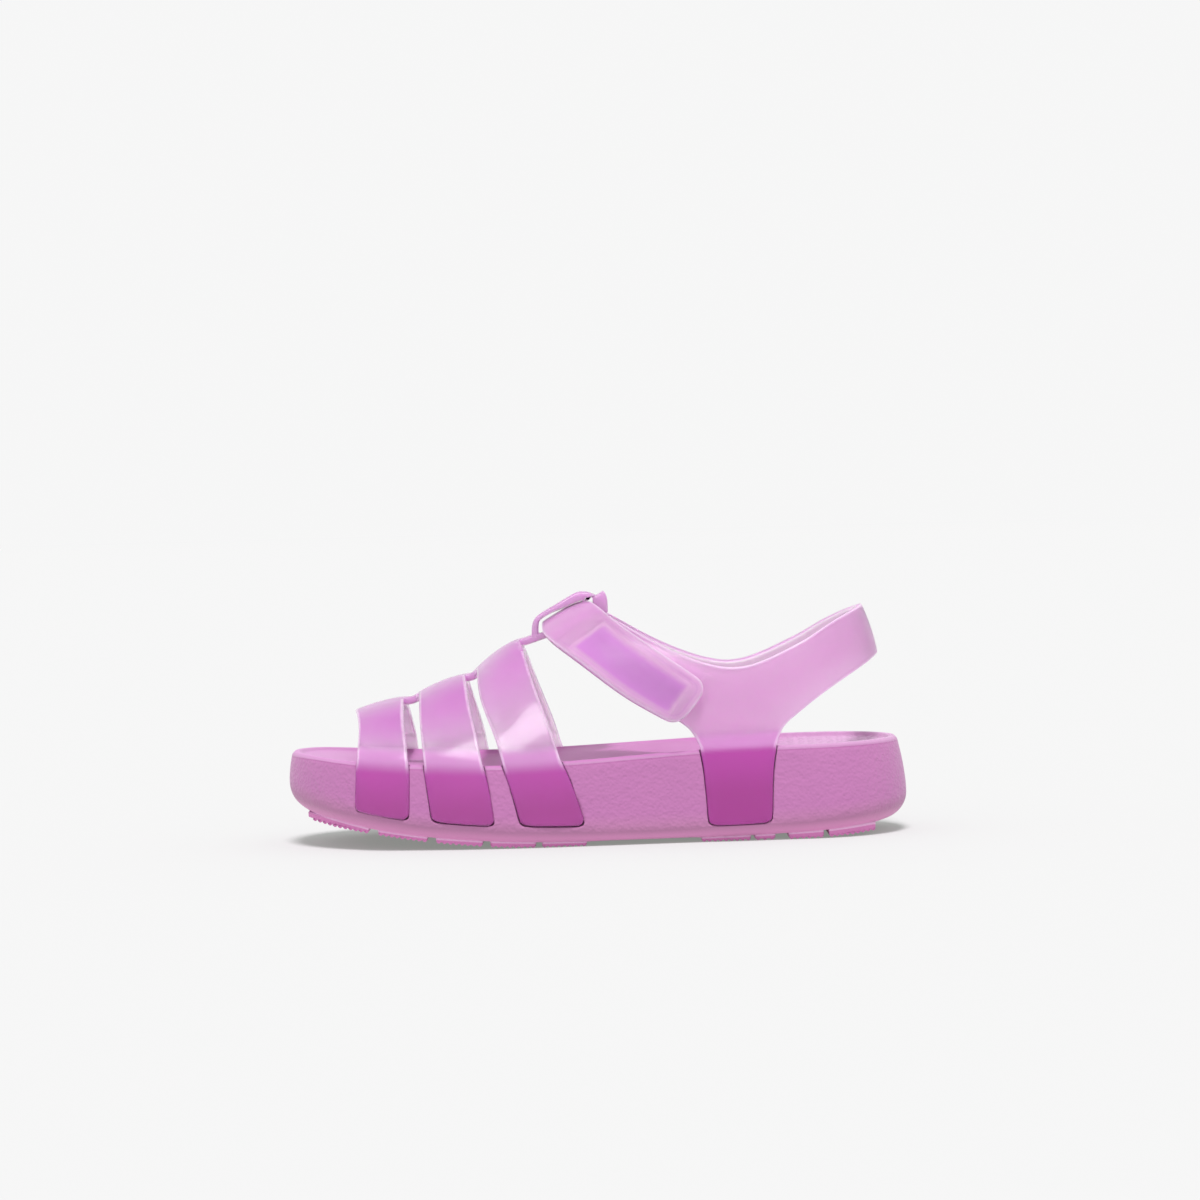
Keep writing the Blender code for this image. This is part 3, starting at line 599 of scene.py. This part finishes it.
def moulded_strap(node, name, levels, rim):
    """The CAD upper rounded, with what the material needs to know at each vertex."""
    strap = copy_node(node, name)
    edges = edge_points(strap.data)
    rounded(strap, STRAP_EDGE_ANGLE, STRAP_EDGE_CREASE, levels)
    known = []
    spread = []
    for vertex in strap.data.vertices:
        middle = Vector((min(max(vertex.co.x, FOOT_FRONT), FOOT_REAR), 0.0, FOOT_MIDDLE))
        outward = (vertex.co - middle).normalized()
        under_rim = between(rim_places, rim_heights, share_of(vertex.co.x)) - vertex.co.z
        to_foam = sole_tree.find_nearest(vertex.co)[3]
        on_tape, to_tape = tape_tree.find_nearest(vertex.co)[0::3]
        above_tape = (vertex.co - on_tape).dot(outward) > 0.0
        over_foam = smooth_step(FOAM_FAR, FOAM_NEAR, to_foam) * smooth_step(*rim, under_rim)
        on_tab = smooth_step(*TAB_FAR, to_tape) if above_tape else 0.0
        known.append({
            "from_edge": edges.find(vertex.co)[2],
            "inside": smooth_step(*INSIDE_FACING, vertex.normal.dot(outward)),
            "over_foam": over_foam,
            "over_tape": (smooth_step(*TAPE_INSET, tape_rim.find(on_tape)[2]) *
                          smooth_step(*TAPE_FAR, to_tape)),
            "backed": max(smooth_step(BACKED_FAR, FOAM_NEAR, to_foam),
                          smooth_step(*TAPE_BACKED, to_tape),
                          TAB_MILKINESS * on_tab),
            "on_tab": on_tab,
            "deep": smooth_step(*DEEP_UNDER_RIM, under_rim),
        })
        sideways = Vector((vertex.normal.x, 0.0, min(vertex.normal.z, 0.0)))
        spread.append(FOOT_SPREAD * over_foam * sideways)
    for vertex, step in zip(strap.data.vertices, spread):
        vertex.co += step
    for part in known[0]:
        store(strap, part, [here[part] for here in known])
    strap.select_set(False)
    return strap


def jelly(name, roughness, coat, coat_roughness, clear, top):
    """Milky clear jelly with painted shade where it lies on the foam and on its upward faces, a painted
    highlight on its edges, painted light on its inner faces, and violet over the closure's tape.
    """
    made, tree, shader = new_material(name)
    upward = span(tree, slope_of(tree), *JELLY_SLOPE)
    from_edge = read_attribute(tree, "from_edge")
    # Painted highlight along the sharp edges.
    edge = span(tree, from_edge, *EDGE_HIGHLIGHT_BAND, top=EDGE_HIGHLIGHT_STRENGTH)
    backed = read_attribute(tree, "backed")
    on_tab = read_attribute(tree, "on_tab")
    # Painted shade where the jelly lies on the foam, deepest low under the rim.
    foot_shade = blend(tree, read_attribute(tree, "deep"), JELLY_SHADED_BY_FOAM, JELLY_DEEP_SHADE)
    tab_line = on_tab
    for factor in (span(tree, from_edge, TAB_LINE[0], TAB_LINE[1]),
                   span(tree, from_edge, TAB_LINE[2], TAB_LINE[1]),
                   TAB_LINE_STRENGTH):
        tab_line = calculate(tree, "MULTIPLY", tab_line, factor)

    # Painted shade on the faces that look up.
    colour = blend(tree, upward, clear, top)
    colour = blend(tree, backed, colour, blend(tree, on_tab, JELLY_BACKED, JELLY_TAB))
    colour = blend(tree, edge, colour, JELLY_EDGE_HIGHLIGHT)
    # Painted light on the inner faces.
    colour = blend(tree, read_attribute(tree, "inside"), colour, JELLY_INSIDE_LIT)
    colour = blend(tree, read_attribute(tree, "over_foam"), colour, foot_shade)
    colour = blend(tree, read_attribute(tree, "over_tape"), colour, JELLY_OVER_TAPE)
    colour = blend(tree, tab_line, colour, JELLY_OVER_TAPE)

    density = calculate(tree, "MULTIPLY", upward, JELLY_TOP_DENSITY)
    for other in (backed, edge):
        density = calculate(tree, "MAXIMUM", density, other)
    ripple = add_node(tree, "TexNoise", {"Vector": place_of(tree), "Scale": RIPPLE_SCALE}).outputs["Fac"]
    wave = add_node(tree, "Bump", {"Strength": 0.08, "Distance": RIPPLE_HEIGHT, "Height": ripple})
    fill(shader, {
        "Base Color": colour,
        "Roughness": roughness,
        "IOR": JELLY_IOR,
        "Transmission Weight": span(tree, density, 0.0, 1.0, bottom=JELLY_CLEARNESS, top=0.0),
        "Subsurface Weight": 0.8,
        "Subsurface Radius": GLOW_SPREAD,
        "Subsurface Scale": GLOW_DEPTH,
        "Coat Weight": coat,
        "Coat Roughness": coat_roughness,
        "Normal": wave.outputs["Normal"],
    })
    return made


vamp = moulded_strap("vamp", "front_upper", FRONT_LEVELS, FRONT_RIM)
from_edge, backed = (vamp.data.attributes[part].data for part in ("from_edge", "backed"))
for vertex in vamp.data.vertices:
    on_loop = vertex.co.x > LOOP_START.x and vertex.co.z > LOOP_START.z
    on_link = (abs(vertex.co.y) < SPINE_HALF and
               any(front < vertex.co.x < rear for front, rear in SPINE_LINKS))
    # The loop and the spine's links are set far from any edge, so they get no painted edge highlight.
    if on_loop or on_link:
        from_edge[vertex.index].value = NO_EDGE
        backed[vertex.index].value = SLIM_MILKINESS
facing_up = [vertex.normal.z for vertex in vamp.data.vertices]
for vertex, facing in zip(vamp.data.vertices, facing_up):
    under_bar = KEEPER_FRONT.z + (vertex.co.x - KEEPER_FRONT.x) * KEEPER_SLOPE
    if KEEPER_FRONT.x < vertex.co.x < KEEPER_REAR and vertex.co.z > under_bar:
        heavier = KEEPER_HEAVIER + KEEPER_REAR_HEAVIER * smooth_step(*KEEPER_CLOSING, vertex.co.x)
        ends = (smooth_step(KEEPER_REAR, KEEPER_REAR - KEEPER_TAPER, vertex.co.x) *
                smooth_step(KEEPER_FRONT.x, KEEPER_FRONT.x + KEEPER_TAPER, vertex.co.x))
        vertex.co.z -= heavier * ends * smooth_step(*KEEPER_UNDERSIDE, facing)
vamp.data.materials.append(jelly("front jelly", 0.20, 0.5, 0.11, JELLY_CLEAR, JELLY_TOP_SHADE))
lit_straps.objects.link(vamp)
glossy.objects.link(vamp)
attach(vamp, "root")
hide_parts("vamp")


# Rear upper: the two stems, the heel strap, the outer arm and the closing strap, moulded in one
# of the same jelly with a satin face. The tab is bare, with nothing raised on it.
REAR_LEVELS = 2
REAR_CLEAR = (0.835, 0.425, 0.775)
# Painted shade: the faces that look up are deeper.
REAR_TOP_SHADE = (0.540, 0.240, 0.500)
REAR_RIM = (-0.0010, 0.0014)

quarter = moulded_strap("quarter", "rear_upper", REAR_LEVELS, REAR_RIM)
quarter.data.materials.append(jelly("rear jelly", 0.34, 0.2, 0.20, REAR_CLEAR, REAR_TOP_SHADE))
lit.objects.link(quarter)
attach(quarter, "root")
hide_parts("quarter")


# Closure tapes: a hook pad and a loop pad, thin violet nylon welded to the arm and the tab.
# They stay as built, and get a pile of short fibres from bump.
TAPE_COLOUR = (0.42, 0.20, 0.55)
PILE_SCALE = 2200.0
PILE_HEIGHT = 0.0003

tape, tree, shader = new_material("violet tape")
fibres = add_node(tree, "TexNoise", {"Vector": place_of(tree), "Scale": PILE_SCALE, "Detail": 2.0})
pile = add_node(tree, "Bump", {
    "Strength": 0.6,
    "Distance": PILE_HEIGHT,
    "Height": fibres.outputs["Fac"],
})
fill(shader, {
    "Base Color": (*TAPE_COLOUR, 1.0),
    "Roughness": 0.9,
    "Sheen Weight": 0.4,
    "Normal": pile.outputs["Normal"],
})
for node in ("hook_patch", "loop_patch"):
    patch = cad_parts[node]
    patch.data.materials.clear()
    patch.data.materials.append(tape)
    lit.objects.link(patch)
